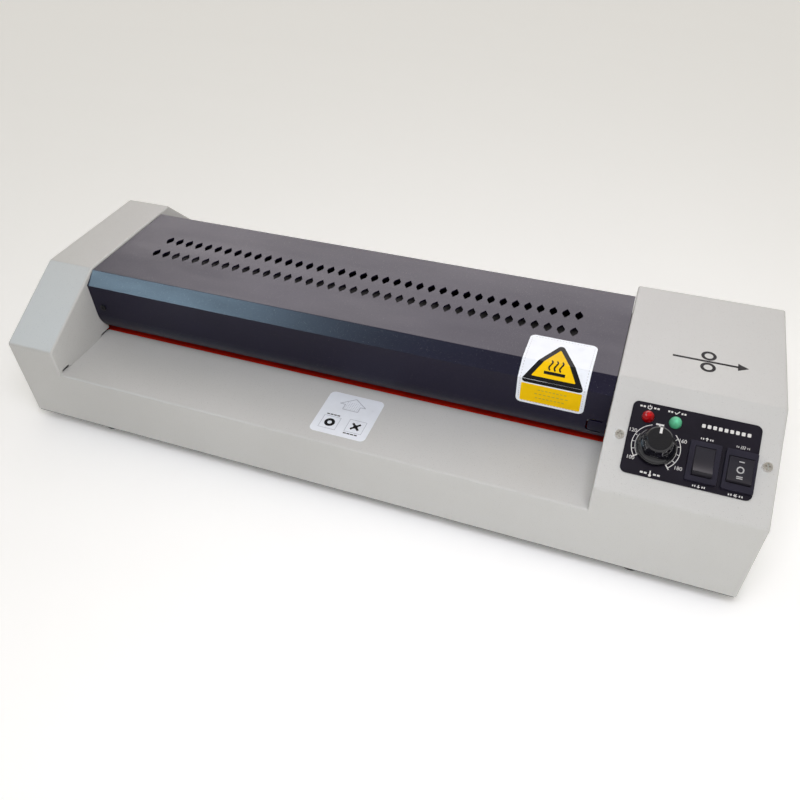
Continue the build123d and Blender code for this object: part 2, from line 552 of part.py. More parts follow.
with BuildPart() as motor_bracket:
    side_box(BRACKET_X, BRACKET_X + BRACKET_T, BRACKET_Y0, BRACKET_Y1, SHELL_Z, BRACKET_TOP_Z)
    side_box(BRACKET_X, BRACKET_X + 16, BRACKET_Y0, BRACKET_Y1, SHELL_Z, SHELL_Z + BRACKET_T)
    fillet(motor_bracket.edges().filter_by(Axis.X).group_by(Axis.Z)[-1], 6)
    rod(facing((BRACKET_X - 1, MOTOR_Y, LOWER_Z), (1, 0, 0), (0, 1, 0)), 5.0, 4, Mode.SUBTRACT)
    for x, y in BRACKET_SCREWS:
        rod(Plane(origin=(x, y, 0)), 1.5, 15, Mode.SUBTRACT)
save(motor_bracket, "motor_bracket")

# ---------------------------------------------------------------- heaters
# each aluminium shoe wraps the far half of two rollers; its back is grooved for heat
for name, hand, axle_z in (("upper_heater_shoe", 1, UPPER_Z), ("lower_heater_shoe", -1, LOWER_Z)):
    near, far = NIP_Z + hand * 14.9, NIP_Z + hand * SHOE_BACK
    groove = far - hand * 1.8
    with BuildPart() as shoe:
        side_box(LEFT_PLATE_X, RIGHT_PLATE_X, MID_Y - SHOE_HALF, MID_Y + SHOE_HALF,
                 min(near, far), max(near, far))
        start = facing((LEFT_PLATE_X - 1, MID_Y, NIP_Z), (1, 0, 0), (0, 1, 0))
        with BuildSketch(start):
            with Locations((-PAIR_PITCH / 2, axle_z - NIP_Z), (PAIR_PITCH / 2, axle_z - NIP_Z)):
                Circle(ROLLER_R + 0.8)
            with Locations((0, hand * ELEMENT_Z)):
                Circle(ELEMENT_R + 0.1)
        extrude(amount=RIGHT_PLATE_X - LEFT_PLATE_X + 2, mode=Mode.SUBTRACT)
        with BuildSketch(Plane.XY.offset(min(groove, far + hand))):
            with Locations(((LEFT_PLATE_X + RIGHT_PLATE_X) / 2, MID_Y)):
                with GridLocations(1, 6.2, 1, 9):
                    Rectangle(400, 2.4)
        extrude(amount=2.8, mode=Mode.SUBTRACT)
        # clear the bushes and springs: only the middle web reaches the side plates
        for y in (MID_Y - SHOE_HALF, MID_Y + 8):
            for x in (LEFT_PLATE_X, RIGHT_PLATE_X - 4):
                side_box(x, x + 4, y, y + SHOE_HALF - 8, NIP_Z - 30, NIP_Z + 30, Mode.SUBTRACT)
    save(shoe, name)

with BuildPart() as heating_elements:
    for hand in (-1, 1):
        rod(facing((LEFT_PLATE_X + 3, MID_Y, NIP_Z + hand * ELEMENT_Z), (1, 0, 0), (0, 1, 0)),
            ELEMENT_R, RIGHT_PLATE_X - LEFT_PLATE_X - 6)
save(heating_elements, "heating_elements")

with BuildPart() as thermal_cutout:
    rod(Plane(origin=(60, MID_Y, NIP_Z + SHOE_BACK)), 8.4, 1.2)
    rod(Plane(origin=(60, MID_Y, NIP_Z + SHOE_BACK + 1.2)), 6.6, 3.6)
save(thermal_cutout, "thermal_cutout")

# ---------------------------------------------------------------- control panel
with BuildPart() as control_panel:
    with BuildSketch(slope_plane(PANEL_X, PANEL_S)):
        RectangleRounded(PANEL_W, PANEL_L, 3.0)
    extrude(amount=PANEL_T)
    rod(slope_plane(KNOB_X, KNOB_S, -1), BUSHING_HOLE_R, 3, Mode.SUBTRACT)
    for x, s in ((RED_X, RED_S), (GREEN_X, GREEN_S)):
        rod(slope_plane(x, s, -1), LED_R + 0.1, 3, Mode.SUBTRACT)
    for x, s in ((DIRECTION_X, DIRECTION_S), (MODE_X, MODE_S)):
        with BuildSketch(slope_plane(x, s, -1)):
            Rectangle(SWITCH_CUT_W, SWITCH_CUT_L)
        extrude(amount=3, mode=Mode.SUBTRACT)
save(control_panel, "control_panel")

with BuildPart() as panel_screws:
    for x in SCREW_X:
        pan_screw(slope_plane(x, SCREW_S), 2.5, 1.8, 1.4, 7.0)
save(panel_screws, "panel_screws")

with BuildPart() as temperature_knob:
    with BuildSketch(slope_side(KNOB_X, KNOB_S)):
        with BuildLine():
            Polyline((0, 11.9), (0, 14.6), (5.4, 14.6), (5.7, 14.5), (6.5, 13.5), (6.8, 9.6))
            ThreePointArc((6.8, 9.6), (7.5, 6.0), (8.9, 3.6))
            ThreePointArc((8.9, 3.6), (9.5, 2.9), (9.65, 2.2))
            Polyline((9.65, 2.2), (9.65, 1.5), (8.7, 1.5), (7.6, 4.2), (3.04, 4.2), (3.04, 11.9), (0, 11.9))
        make_face()
    revolve(axis=Axis(slope_plane(KNOB_X, KNOB_S).origin, slope_plane(KNOB_X, KNOB_S).z_dir))
save(temperature_knob, "temperature_knob")

with BuildPart() as knob_shaft:
    rod(slope_plane(KNOB_X, KNOB_S, -1.0), 3.0, 12.8)
save(knob_shaft, "knob_shaft")

with BuildPart() as potentiometer:
    rod(slope_plane(KNOB_X, KNOB_S, -10.4), 8.2, 9.2)
    rod(slope_plane(KNOB_X, KNOB_S, -2.0), 3.75, 5.6)
    rod(slope_plane(KNOB_X, KNOB_S, -2.0), 3.0 + FIT, 8, Mode.SUBTRACT)
    # nut on the bushing, clear of its thread
    with BuildSketch(slope_plane(KNOB_X, KNOB_S, PANEL_T)):
        RegularPolygon(5.6, 6)
        Circle(3.8, mode=Mode.SUBTRACT)
    extrude(amount=2.0)
save(potentiometer, "potentiometer")


def snap_in_switch(x, s, cavity_w, rocker_r):
    """Switch housing: bezel on the panel, body through the cut-out, cavity and pivot holes."""
    with BuildSketch(slope_plane(x, s, PANEL_T)) as outline:
        RectangleRounded(SWITCH_W, SWITCH_L, 1.0)
    extrude(outline.sketch, amount=SWITCH_H, taper=10)
    with BuildSketch(slope_plane(x, s, PANEL_T)) as outline:
        Rectangle(13.0, 19.2)
    extrude(outline.sketch, amount=-14)
    with BuildSketch(slope_plane(x, s, -8.4)) as outline:
        Rectangle(cavity_w, 2 * rocker_r + 0.5)
    extrude(outline.sketch, amount=15, mode=Mode.SUBTRACT)
    with BuildSketch(slope_side(x - cavity_w / 2 - 0.7, s, PIVOT_H)) as outline:
        Circle(1.0 + FIT)
    extrude(outline.sketch, amount=cavity_w + 1.4, mode=Mode.SUBTRACT)


def tilted(y, z, tilt):
    """Point turned by tilt degrees about the pivot."""
    angle = radians(tilt)
    return y * cos(angle) - z * sin(angle), y * sin(angle) + z * cos(angle)


def rocker(x, s, width, rocker_r, tilt):
    """Rocker with a shallow dished top and two stub axles, tilted about its pivot."""
    side = slope_side(x - width / 2, s, PIVOT_H)
    reach = rocker_r * cos(radians(ROCKER_END))
    rise = rocker_r * sin(radians(ROCKER_END))
    front_top, front_low = tilted(-reach, rise, tilt), tilted(-reach, -rise, tilt)
    rear_top, rear_low = tilted(reach, rise, tilt), tilted(reach, -rise, tilt)
    with BuildSketch(side) as outline:
        with BuildLine():
            ThreePointArc(front_top, tilted(0, ROCKER_DISH, tilt), rear_top)
            ThreePointArc(rear_top, tilted(rocker_r, 0, tilt), rear_low)
            Line(rear_low, front_low)
            ThreePointArc(front_low, tilted(-rocker_r, 0, tilt), front_top)
        make_face()
    extrude(outline.sketch, amount=width)
    with BuildSketch(side.offset(-0.5)) as outline:
        Circle(1.0)
    extrude(outline.sketch, amount=width + 1.0)


with BuildPart() as direction_switch:
    snap_in_switch(DIRECTION_X, DIRECTION_S, 9.4, 7.4)
save(direction_switch, "direction_switch")

with BuildPart() as direction_rocker:
    rocker(DIRECTION_X, DIRECTION_S, 9.0, 7.4, -ROCKER_TILT)
save(direction_rocker, "direction_rocker")

with BuildPart() as mode_switch:
    snap_in_switch(MODE_X, MODE_S, 11.4, 6.6)
save(mode_switch, "mode_switch")

with BuildPart() as mode_rocker:
    rocker(MODE_X, MODE_S, 11.0, 6.6, 0)
save(mode_rocker, "mode_rocker")

with BuildPart() as switch_terminals:
    for x, s in ((DIRECTION_X, DIRECTION_S), (MODE_X, MODE_S)):
        for step in (-6.0, 0.0, 6.0):
            block(slope_plane(x, s + step, -21.4), 4.8, 0.8, 8.0)
save(switch_terminals, "switch_terminals")

for name, x, s in (("power_led", RED_X, RED_S), ("ready_led", GREEN_X, GREEN_S)):
    with BuildPart() as led:
        with BuildSketch(slope_side(x, s)):
            with BuildLine():
                Polyline((0, 4.6), (0, -2.2), (3.6, -2.2), (3.6, -1.3), (LED_R, -1.3), (LED_R, 1.65))
                RadiusArc((LED_R, 1.65), (0, 4.6), -LED_R)
            make_face()
        revolve(axis=Axis(slope_plane(x, s).origin, slope_plane(x, s).z_dir))
    save(led, name)

with BuildPart() as led_leads:
    for x, s in ((RED_X, RED_S), (GREEN_X, GREEN_S)):
        for side in (-1.27, 1.27):
            rod(slope_plane(x + side, s, -11.0), 0.3, 8.8)
save(led_leads, "led_leads")

with BuildPart() as control_board:
    with BuildSketch(slope_plane(KNOB_X + 0.5, 33.0, -12.6)):
        Rectangle(30.0, 34.0)
    extrude(amount=1.6)
save(control_board, "control_board")

# ---------------------------------------------------------------- mains side
INLET_FACE = facing((INLET_X, REAR_Y, INLET_Z), (0, 1, 0), (-1, 0, 0))
with BuildPart() as inlet:
    with BuildSketch(INLET_FACE):
        RectangleRounded(31.0, 24.0, 2.0)
    extrude(amount=1.5)
    with BuildSketch(INLET_FACE):
        Rectangle(27.0, 20.0)
    extrude(amount=-18)
    with BuildSketch(INLET_FACE.offset(1.5)):
        Polygon((-12.1, -8.3), (12.1, -8.3), (12.1, 4.5), (8.3, 8.3), (-8.3, 8.3), (-12.1, 4.5), align=None)
    extrude(amount=-17, mode=Mode.SUBTRACT)
save(inlet, "inlet")

with BuildPart() as inlet_pins:
    for x, z in ((-7.0, -2.0), (7.0, -2.0), (0.0, 2.0)):
        with BuildSketch(INLET_FACE.offset(-15.5)):
            with Locations((x, z)):
                Rectangle(2.0, 4.0)
        extrude(amount=12)
        with BuildSketch(INLET_FACE.offset(-18)):
            with Locations((x, z)):
                Rectangle(4.8, 0.8)
        extrude(amount=-6)
save(inlet_pins, "inlet_pins")

with BuildPart() as motor_capacitor:
    side_box(174, 206, -24, -11, SHELL_Z, SHELL_Z + 22)
    fillet(motor_capacitor.edges().filter_by(Axis.Z), 2)
save(motor_capacitor, "motor_capacitor")

with BuildPart() as terminal_block:
    side_box(160, 208, -52, -36, SHELL_Z, SHELL_Z + 13)
    with BuildSketch(Plane.XY.offset(SHELL_Z + 6)):
        with Locations((184, -44)):
            with GridLocations(9.0, 1, 5, 1):
                Circle(2.6)
    extrude(amount=10, mode=Mode.SUBTRACT)
save(terminal_block, "terminal_block")

with BuildPart() as wiring:
    for x, start_z, top in ((175.0, 28.4, 66.0), (182.0, 32.4, 69.0), (189.0, 28.4, 72.0)):
        with BuildLine() as route:
            FilletPolyline((x, 67.5, start_z), (x, 67.5, 56.0), (x + 4, 48.0, top), (x + 6, 10.0, top),
                           (x + 8, -30.0, 46.0), (x + 9, -33.0, 24.0), radius=4.0)
        with BuildSketch(Plane(origin=route.line @ 0, z_dir=route.line % 0)):
            Circle(0.9)
        sweep(path=route.line)
save(wiring, "wiring")

# ---------------------------------------------------------------- stickers
with BuildPart() as table_label:
    with BuildSketch(Plane(origin=(LABEL_X, LABEL_Y, TABLE_Z))):
        RectangleRounded(LABEL_SIDE, LABEL_SIDE, 3.2)
    extrude(amount=STICKER_T)
save(table_label, "table_label")

with BuildPart() as warning_label:
    front = MID_Y - COVER_HALF
    crest = MID_Y - COVER_TOP_HALF
    along_x(WARNING_X0, WARNING_X1, [
        (WARNING_REAR_Y, COVER_TOP_Z), (crest, COVER_TOP_Z), (front, COVER_SHOULDER_Z),
        (front, WARNING_LOW_Z), (front - STICKER_T, WARNING_LOW_Z),
        (front - STICKER_T, COVER_SHOULDER_Z + STICKER_T / 2),
        (crest - STICKER_T / 3, COVER_TOP_Z + STICKER_T), (WARNING_REAR_Y, COVER_TOP_Z + STICKER_T)])
    corners = warning_label.edges().filter_by(Axis.Z).group_by(Axis.Y)[-1]
    corners += warning_label.edges().filter_by(Axis.Y).group_by(Axis.Z)[0]
    fillet(corners, 3.0)
save(warning_label, "warning_label")
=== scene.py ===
import json
from math import cos, pi, radians, sin

import bmesh
import bpy
from mathutils import Matrix, Vector


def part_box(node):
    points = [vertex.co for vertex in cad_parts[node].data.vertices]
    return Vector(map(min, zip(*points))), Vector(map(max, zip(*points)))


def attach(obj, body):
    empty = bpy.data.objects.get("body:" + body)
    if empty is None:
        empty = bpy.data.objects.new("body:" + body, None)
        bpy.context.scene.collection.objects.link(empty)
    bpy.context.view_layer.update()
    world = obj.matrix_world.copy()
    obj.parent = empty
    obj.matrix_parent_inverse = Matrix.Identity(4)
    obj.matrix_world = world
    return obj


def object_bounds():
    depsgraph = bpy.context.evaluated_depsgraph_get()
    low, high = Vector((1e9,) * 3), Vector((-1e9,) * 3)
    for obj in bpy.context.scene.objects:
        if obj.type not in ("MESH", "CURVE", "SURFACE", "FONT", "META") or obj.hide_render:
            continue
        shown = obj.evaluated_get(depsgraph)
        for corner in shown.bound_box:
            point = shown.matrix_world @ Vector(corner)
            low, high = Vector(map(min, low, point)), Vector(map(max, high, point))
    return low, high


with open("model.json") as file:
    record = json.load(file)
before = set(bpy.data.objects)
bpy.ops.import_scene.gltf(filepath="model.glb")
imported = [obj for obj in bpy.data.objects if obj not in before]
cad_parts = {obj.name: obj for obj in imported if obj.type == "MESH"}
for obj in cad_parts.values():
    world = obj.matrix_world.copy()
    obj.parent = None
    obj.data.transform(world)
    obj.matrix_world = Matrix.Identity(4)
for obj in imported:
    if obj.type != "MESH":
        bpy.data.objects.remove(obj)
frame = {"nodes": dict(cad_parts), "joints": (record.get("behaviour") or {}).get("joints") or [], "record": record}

# Looks of the pouch laminator: procedural finishes for every CAD node, the printed marks, the lamp
# interiors, the table top, the lights and the camera.  Lengths are metres in the CAD frame.

MM = 0.001
NODES = frame["nodes"]
JOINTS = {joint["name"]: joint for joint in frame["joints"]}
CAD_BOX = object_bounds()
ROOT = "frame"                       # the body that carries the housing


# ---------------------------------------------------------------- places read from the frame
def middle(node):
    """Middle of a CAD node's box."""
    low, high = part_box(node)
    return (low + high) / 2


DIAL = JOINTS["temperature_dial"]
DIAL_CENTRE = Vector(DIAL["pos_m"])
OUTWARDS = Vector(DIAL["axis"]).normalized()          # normal of the control slope
ACROSS = Vector((1, 0, 0))
UP_SLOPE = OUTWARDS.cross(ACROSS)
OVERLAY_TOP = 0.6 * MM                                # overlay thickness on the slope
INK = 0.03 * MM                                       # thickness of a printed mark
GLOSS = 0.26                                          # specular level of paint, plastic and film


def slope_coords(point):
    """(across, up) of a point on the control slope, measured from the dial's centre."""
    offset = point - DIAL_CENTRE
    return offset.dot(ACROSS), offset.dot(UP_SLOPE)


def on_slope(height):
    """Placing function: (across, up, thickness) to a point over the control slope."""
    def place(u, v, w):
        return DIAL_CENTRE + ACROSS * u + UP_SLOPE * v + OUTWARDS * (height + w)
    return place


def on_flat(centre, height):
    """Placing function on a horizontal face, measured from centre."""
    def place(u, v, w):
        return Vector((centre.x + u, centre.y + v, height + w))
    return place


# ---------------------------------------------------------------- materials
def new_material(name):
    """Node material with its shader and a coordinate in metres."""
    material = bpy.data.materials.new(name)
    material.use_nodes = True
    tree = material.node_tree
    shader = tree.nodes["Principled BSDF"]
    shader.inputs["Specular IOR Level"].default_value = GLOSS
    coords = tree.nodes.new("ShaderNodeTexCoord")
    return material, tree, shader, coords.outputs["Object"]


def noise(tree, coords, scale, detail=3.0, rough=0.5, stretch=None):
    """Noise texture, its grain optionally stretched along an axis."""
    if stretch:
        mapping = tree.nodes.new("ShaderNodeMapping")
        mapping.inputs["Scale"].default_value = stretch
        tree.links.new(coords, mapping.inputs["Vector"])
        coords = mapping.outputs["Vector"]
    texture = tree.nodes.new("ShaderNodeTexNoise")
    texture.inputs["Scale"].default_value = scale
    texture.inputs["Detail"].default_value = detail
    texture.inputs["Roughness"].default_value = rough
    tree.links.new(coords, texture.inputs["Vector"])
    return texture.outputs["Fac"]


def remap(tree, value, low, high, start=0.3, end=0.7):
    """Value rescaled so that start..end becomes low..high."""
    node = tree.nodes.new("ShaderNodeMapRange")
    node.inputs["From Min"].default_value = start
    node.inputs["From Max"].default_value = end
    node.inputs["To Min"].default_value = low
    node.inputs["To Max"].default_value = high
    tree.links.new(value, node.inputs["Value"])
    return node.outputs["Result"]


def two_tones(tree, value, first, second, start=0.35, end=0.65):
    """Colour that runs from first to second with a noise value."""
    ramp = tree.nodes.new("ShaderNodeValToRGB")
    ramp.color_ramp.elements[0].position = start
    ramp.color_ramp.elements[1].position = end
    ramp.color_ramp.elements[0].color = (*first, 1)
    ramp.color_ramp.elements[1].color = (*second, 1)
    tree.links.new(value, ramp.inputs["Fac"])
    return ramp.outputs["Color"]


def speckled(tree, base, value, colour, start, end):
    """Base colour with specks of another colour where value is high."""
    mix = tree.nodes.new("ShaderNodeMix")
    mix.data_type = "RGBA"
    mask = remap(tree, value, 0.0, 1.0, start, end)
    tree.links.new(mask, mix.inputs["Factor"])
    tree.links.new(base, mix.inputs["A"])
    mix.inputs["B"].default_value = (*colour, 1)
    return mix.outputs["Result"]


def bump(tree, shader, *layers):
    """Stacked bumps; each layer is (height value, strength, depth in metres)."""
    normal = None
    for height, strength, depth in layers:
        node = tree.nodes.new("ShaderNodeBump")
        node.inputs["Strength"].default_value = strength
        node.inputs["Distance"].default_value = depth
        tree.links.new(height, node.inputs["Height"])
        if normal:
            tree.links.new(normal, node.inputs["Normal"])
        normal = node.outputs["Normal"]
    tree.links.new(normal, shader.inputs["Normal"])


def shade(tint, factor):
    """A colour made darker or lighter."""
    return tuple(min(1.0, channel * factor) for channel in tint)


def powder_coat(name, tint):
    """Sheet metal with a fine textured coat: pebbled skin, faint clouding, a few darker specks."""
    material, tree, shader, coords = new_material(name)
    cloud = noise(tree, coords, 9.0, 4.0)
    pebbles = noise(tree, coords, 1500.0, 2.0, 0.4)
    orange_peel = noise(tree, coords, 420.0, 2.0, 0.5)
    dust = noise(tree, coords, 2600.0, 1.0)
    base = two_tones(tree, cloud, shade(tint, 0.965), shade(tint, 1.03))
    base = speckled(tree, base, dust, shade(tint, 0.62), 0.69, 0.76)
    tree.links.new(base, shader.inputs["Base Color"])
    tree.links.new(remap(tree, cloud, 0.40, 0.48), shader.inputs["Roughness"])
    shader.inputs["Specular IOR Level"].default_value = 0.8 * GLOSS
    bump(tree, shader, (pebbles, 0.30, 0.00018), (orange_peel, 0.22, 0.00025))
    return material


def cover_coat(name, tint):
    """Charcoal semi-gloss coat: orange peel, handling haze and light dust."""
    material, tree, shader, coords = new_material(name)
    cloud = noise(tree, coords, 14.0, 5.0, 0.6)
    smear = noise(tree, coords, 30.0, 4.0, 0.65, stretch=(0.25, 1.0, 1.0))
    peel = noise(tree, coords, 700.0, 2.0)
    dust = noise(tree, coords, 3200.0, 1.0)
    base = two_tones(tree, cloud, shade(tint, 0.9), shade(tint, 1.12))
    base = speckled(tree, base, dust, (0.22, 0.21, 0.21), 0.70, 0.80)
    tree.links.new(base, shader.inputs["Base Color"])
    tree.links.new(remap(tree, smear, 0.30, 0.42), shader.inputs["Roughness"])
    bump(tree, shader, (peel, 0.16, 0.00018))
    return material


def moulded(name, tint, roughness, grain=1800.0, depth=0.12, coat=0.0):
    """Moulded plastic or rubber: fine spark-eroded grain and slight tone changes."""
    material, tree, shader, coords = new_material(name)
    cloud = noise(tree, coords, 60.0, 3.0)
    skin = noise(tree, coords, grain, 2.0)
    base = two_tones(tree, cloud, shade(tint, 0.88), shade(tint, 1.12))
    tree.links.new(base, shader.inputs["Base Color"])
    tree.links.new(remap(tree, cloud, roughness * 0.9, roughness * 1.1), shader.inputs["Roughness"])
    shader.inputs["Coat Weight"].default_value = coat
    shader.inputs["Coat Roughness"].default_value = 0.08
    bump(tree, shader, (skin, depth, 0.00012))
    return material


def metal(name, tint, roughness, stretch=(1.0, 1.0, 1.0), grain=900.0, depth=0.1):
    """Bare or plated metal: grain along the working direction and faint staining."""
    material, tree, shader, coords = new_material(name)
    stain = noise(tree, coords, 45.0, 4.0, 0.6)
    lines = noise(tree, coords, grain, 2.0, 0.5, stretch)
    base = two_tones(tree, stain, shade(tint, 0.86), shade(tint, 1.08))
    tree.links.new(base, shader.inputs["Base Color"])
    tree.links.new(remap(tree, lines, roughness * 0.8, roughness * 1.25), shader.inputs["Roughness"])
    shader.inputs["Metallic"].default_value = 1.0
    bump(tree, shader, (lines, depth, 0.0001))
    return material


def film(name, tint, roughness=0.32, gloss=GLOSS):
    """Printed adhesive film: smooth face with a faint paper ripple."""
    material, tree, shader, coords = new_material(name)
    ripple = noise(tree, coords, 120.0, 3.0)
    fibre = noise(tree, coords, 1400.0, 2.0)
    base = two_tones(tree, ripple, shade(tint, 0.97), shade(tint, 1.02))
    tree.links.new(base, shader.inputs["Base Color"])
    tree.links.new(remap(tree, ripple, roughness * 0.85, roughness * 1.15), shader.inputs["Roughness"])
    shader.inputs["Specular IOR Level"].default_value = gloss
    bump(tree, shader, (fibre, 0.05, 0.00008), (ripple, 0.04, 0.0002))
    return material


def lens(name, tint, glow):
    """Tinted clear epoxy of a lamp, with tiny flow marks."""
    material, tree, shader, coords = new_material(name)
    flow = noise(tree, coords, 500.0, 2.0)
    base = two_tones(tree, flow, shade(tint, 0.9), shade(tint, 1.1))
    tree.links.new(base, shader.inputs["Base Color"])
    tree.links.new(remap(tree, flow, 0.10, 0.16), shader.inputs["Roughness"])
    shader.inputs["Transmission Weight"].default_value = 0.35
    shader.inputs["IOR"].default_value = 1.5
    shader.inputs["Emission Color"].default_value = (*tint, 1)
    shader.inputs["Emission Strength"].default_value = glow
    bump(tree, shader, (flow, 0.05, 0.0001))
    return material


def board(name):
    """Circuit board: solder mask with copper tracks showing through."""
    material, tree, shader, coords = new_material(name)
    wave = tree.nodes.new("ShaderNodeTexWave")
    wave.inputs["Scale"].default_value = 160.0
    wave.inputs["Distortion"].default_value = 3.0
    tree.links.new(coords, wave.inputs["Vector"])
    base = two_tones(tree, wave.outputs["Fac"], (0.008, 0.08, 0.03), (0.03, 0.2, 0.07), 0.45, 0.55)
    tree.links.new(base, shader.inputs["Base Color"])
    shader.inputs["Roughness"].default_value = 0.25
    bump(tree, shader, (wave.outputs["Fac"], 0.2, 0.0001))
    return material


MATERIALS = {
    "casing_paint": powder_coat("casing_coat", (0.60, 0.60, 0.59)),
    "cover_paint": cover_coat("charcoal_coat", (0.0064, 0.0042, 0.0200)),
    # near-black coat of the base pan, also put on the heat shield under the cover's vents, where its black is
    # painted shade that makes the vents read dark
    "pan_steel": powder_coat("pan_coat", (0.022, 0.022, 0.024)),
    "foot_rubber": moulded("foot_rubber", (0.018, 0.018, 0.018), 0.75, 900.0, 0.2),
    "zinc_screw": metal("zinc_screw", (0.62, 0.62, 0.60), 0.32),
    "dark_screw": metal("black_oxide", (0.06, 0.06, 0.065), 0.38),
    "nickel_screw": metal("nickel_plate", (0.88, 0.84, 0.80), 0.30, depth=0.04),
    "zinc_plate": metal("zinc_sheet", (0.60, 0.61, 0.60), 0.36, grain=60.0),
    "bright_steel": metal("ground_steel", (0.66, 0.66, 0.67), 0.24, (0.05, 1, 1)),
    "guide_red": moulded("red_guide_film", (0.80, 0.020, 0.006), 0.34, 500.0, 0.1, 0.4),
    "bronze": metal("sintered_bronze", (0.50, 0.33, 0.16), 0.45),
    "nylon_gear": moulded("nylon", (0.72, 0.70, 0.62), 0.42, 700.0, 0.08),
    "motor_can": metal("motor_can", (0.55, 0.56, 0.56), 0.34, (1, 1, 0.1)),
    "shoe_aluminium": metal("extruded_aluminium", (0.70, 0.71, 0.72), 0.34, (0.03, 1, 1)),
    "element_sheath": metal("heated_sheath", (0.30, 0.27, 0.24), 0.5, (0.05, 1, 1)),
    "panel_black": moulded("overlay_film", (0.0095, 0.0078, 0.0150), 0.22, 1400.0, 0.08),
    "knob_black": moulded("knob_gloss", (0.007, 0.007, 0.010), 0.12, 400.0, 0.02, 0.5),
    "switch_black": moulded("switch_housing", (0.016, 0.014, 0.026), 0.36, 1600.0, 0.12),
    "rocker_black": moulded("rocker_plastic", (0.020, 0.018, 0.025), 0.42, 1600.0, 0.12),
    "contact_brass": metal("tinned_brass", (0.74, 0.66, 0.48), 0.25),
    "led_red": lens("red_epoxy", (0.46, 0.001, 0.004), 0.05),
    "led_green": lens("green_epoxy", (0.12, 0.50, 0.29), 0.14),
    "board_green": board("solder_mask"),
    "inlet_black": moulded("inlet_plastic", (0.014, 0.014, 0.014), 0.42),
    "capacitor_film": moulded("dipped_film", (0.70, 0.42, 0.06), 0.3, 500.0, 0.1),
    "terminal_white": moulded("terminal_plastic", (0.80, 0.78, 0.73), 0.4),
    "wire_red": moulded("wire_silicone", (0.50, 0.03, 0.02), 0.45),
    "roller_silicone": moulded("roller_silicone", (0.36, 0.05, 0.02), 0.55, 1200.0, 0.15),
    "label_white": film("label_film", (0.86, 0.90, 0.97)),
}
INK_WHITE = film("white_ink", (0.72, 0.71, 0.70), 0.45)
INK_BLACK = film("black_ink", (0.008, 0.007, 0.008), 0.45, 0.12)
INK_GREY = film("grey_ink", (0.46, 0.46, 0.47), 0.4)
INK_PALE = film("pale_ink", (0.50, 0.53, 0.60), 0.4)
INK_YELLOW = film("yellow_ink", (0.94, 0.58, 0.0), 0.45, 0.08)
INK_OCHRE = film("ochre_ink", (0.62, 0.42, 0.02), 0.35)
LAMP_CUP = metal("lamp_cup", (0.75, 0.75, 0.75), 0.25)


def dress_nodes():
    """Give every CAD node the finish of its slot."""
    slots = {row["node"]: row["material_slot"] for row in frame["record"]["subparts"]}
    for name, node in NODES.items():
        material = MATERIALS[slots[name]]
        if not node.material_slots:
            node.data.materials.append(material)
        for place in node.material_slots:
            place.material = material


# ---------------------------------------------------------------- flat printed marks
def disc(x, y, radius, steps=32):
    """Filled circle."""
    return [[(x + radius * cos(2 * pi * i / steps), y + radius * sin(2 * pi * i / steps))
             for i in range(steps)]]


def arc_band(x, y, outer, inner, start=0.0, sweep=360.0, steps=40):
    """Band along an arc, as short four-sided pieces."""
    angle = [radians(start + sweep * i / steps) for i in range(steps + 1)]
    return [[(x + r * cos(a), y + r * sin(a))
             for r, a in ((inner, first), (outer, first), (outer, last), (inner, last))]
            for first, last in zip(angle, angle[1:])]


def bar(x0, y0, x1, y1, width):
    """Straight stroke with square ends."""
    along = Vector((x1 - x0, y1 - y0)).normalized() * (width / 2)
    side = Vector((-along.y, along.x))
    return [[(x0 - side.x, y0 - side.y), (x1 - side.x, y1 - side.y),
             (x1 + side.x, y1 + side.y), (x0 + side.x, y0 + side.y)]]


def rounded(x, y, width, height, radius, steps=6):
    """Filled rectangle with round corners."""
    points = []
    for turn, (sx, sy) in enumerate(((1, 1), (-1, 1), (-1, -1), (1, -1))):
        cx, cy = x + sx * (width / 2 - radius), y + sy * (height / 2 - radius)
        for i in range(steps + 1):
            a = radians(90 * turn + 90 * i / steps)
            points.append((cx + radius * cos(a), cy + radius * sin(a)))
    return [points]


def rounded_triangle(x, y, side, radius, steps=6):
    """Equilateral triangle standing on its base, with round corners."""
    points = []
    reach = side / 3 ** 0.5 - 2 * radius
    for turn in range(3):
        middle_angle = 90 + 120 * turn
        cx, cy = x + reach * cos(radians(middle_angle)), y + reach * sin(radians(middle_angle))
        for i in range(steps + 1):
            a = radians(middle_angle - 60 + 120 * i / steps)
            points.append((cx + radius * cos(a), cy + radius * sin(a)))
    return [points]


def shifted(shapes, x, y, scale=1.0):
    """Shapes scaled, then moved."""
    return [[(x + px * scale, y + py * scale) for px, py in shape] for shape in shapes]


def printed(name, shapes, place, material, body=ROOT, folds=(), thickness=INK):
    """Thin closed mesh of the shapes, cut at the folds and laid on a surface by place."""
    mesh = bmesh.new()
    for shape in shapes:
        low = [mesh.verts.new((x * MM, y * MM, 0)) for x, y in shape]
        face = mesh.faces.new(low)
        if face.normal.z > 0:
            face.normal_flip()
        grown = bmesh.ops.extrude_face_region(mesh, geom=[face])
        for item in grown["geom"]:
            if isinstance(item, bmesh.types.BMVert):
                item.co.z = thickness
    for fold in folds:
        bmesh.ops.bisect_plane(mesh, geom=mesh.verts[:] + mesh.edges[:] + mesh.faces[:],
                               plane_co=(0, fold, 0), plane_no=(0, 1, 0), dist=1e-7)
    bmesh.ops.recalc_face_normals(mesh, faces=mesh.faces)
    for vertex in mesh.verts:
        vertex.co = place(*vertex.co)
    data = bpy.data.meshes.new(name)
    mesh.to_mesh(data)
    mesh.free()
    add_piece(name, data, material, body)


def add_piece(name, data, material, body):
    """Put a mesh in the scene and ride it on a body."""
    piece = bpy.data.objects.new(name, data)
    piece.data.materials.append(material)
    bpy.context.scene.collection.objects.link(piece)
    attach(piece, body)


